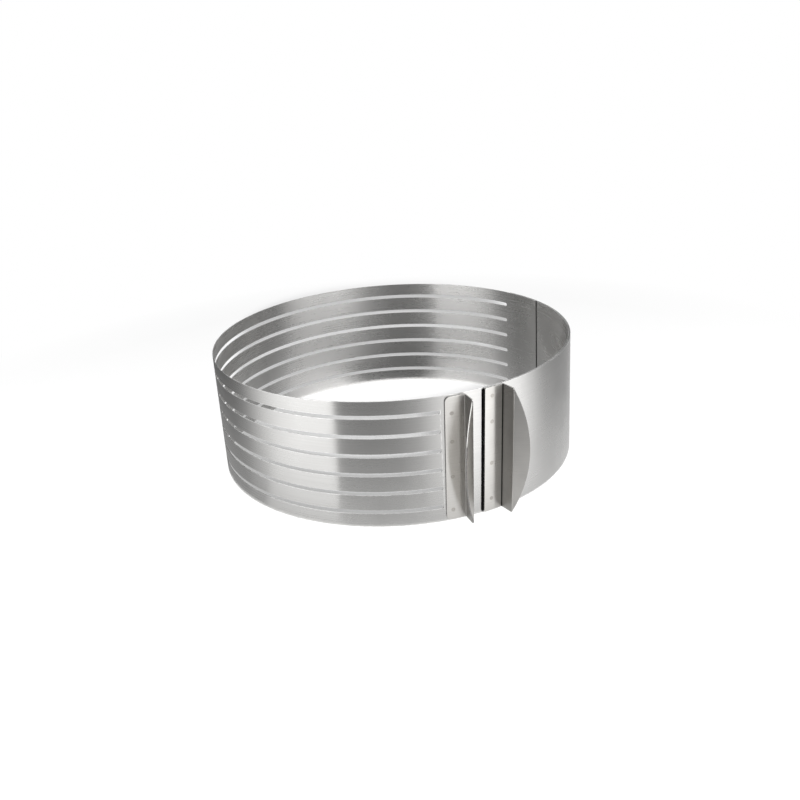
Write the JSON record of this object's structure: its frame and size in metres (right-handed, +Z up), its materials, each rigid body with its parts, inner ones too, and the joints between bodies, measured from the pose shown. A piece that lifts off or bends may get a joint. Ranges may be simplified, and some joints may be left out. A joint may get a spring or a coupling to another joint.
{
  "type": "cake slicing ring",
  "caption": "Adjustable steel cake ring with level knife slots; a plain band with a bent grip slides round the slotted band to set the diameter.",
  "frame": {"origin": "centre of the whole object's footprint on the surface it stands on; the ring's own axis is 9.1 mm behind it", "axes": "+Z up along the ring's axis, -Y towards the grips, +X towards the plain band"},
  "size_m": [0.2492, 0.2665, 0.084],
  "materials": {
    "slotted_steel": "brushed round the ring",
    "plain_steel": "finely brushed round the ring",
    "grip_steel": "bright, brushed upright",
    "weld_steel": "dull spot weld",
    "trim_black": "matt"
  },
  "bodies": {
    "slotted_ring": {"slotted_band": "slotted_steel", "left_grip": "grip_steel", "left_grip_weld_1": "weld_steel", "left_grip_weld_2": "weld_steel", "left_grip_weld_3": "weld_steel", "left_grip_weld_4": "weld_steel"},
    "plain_slide": {"plain_band": "plain_steel", "right_grip": "grip_steel", "edge_trim": "trim_black", "right_grip_weld_1": "weld_steel", "right_grip_weld_2": "weld_steel", "right_grip_weld_3": "weld_steel", "right_grip_weld_4": "weld_steel", "lap_weld_1": "weld_steel", "lap_weld_2": "weld_steel", "lap_weld_3": "weld_steel", "lap_weld_4": "weld_steel"}
  },
  "joints": [
    {"name": "size_slide", "type": "hinge", "parent": "slotted_ring", "child": "plain_slide", "pos_m": [-0.0004, 0.00906, 0.042], "axis": [0, 0, 1], "range_deg": [0, 72]}
  ]
}
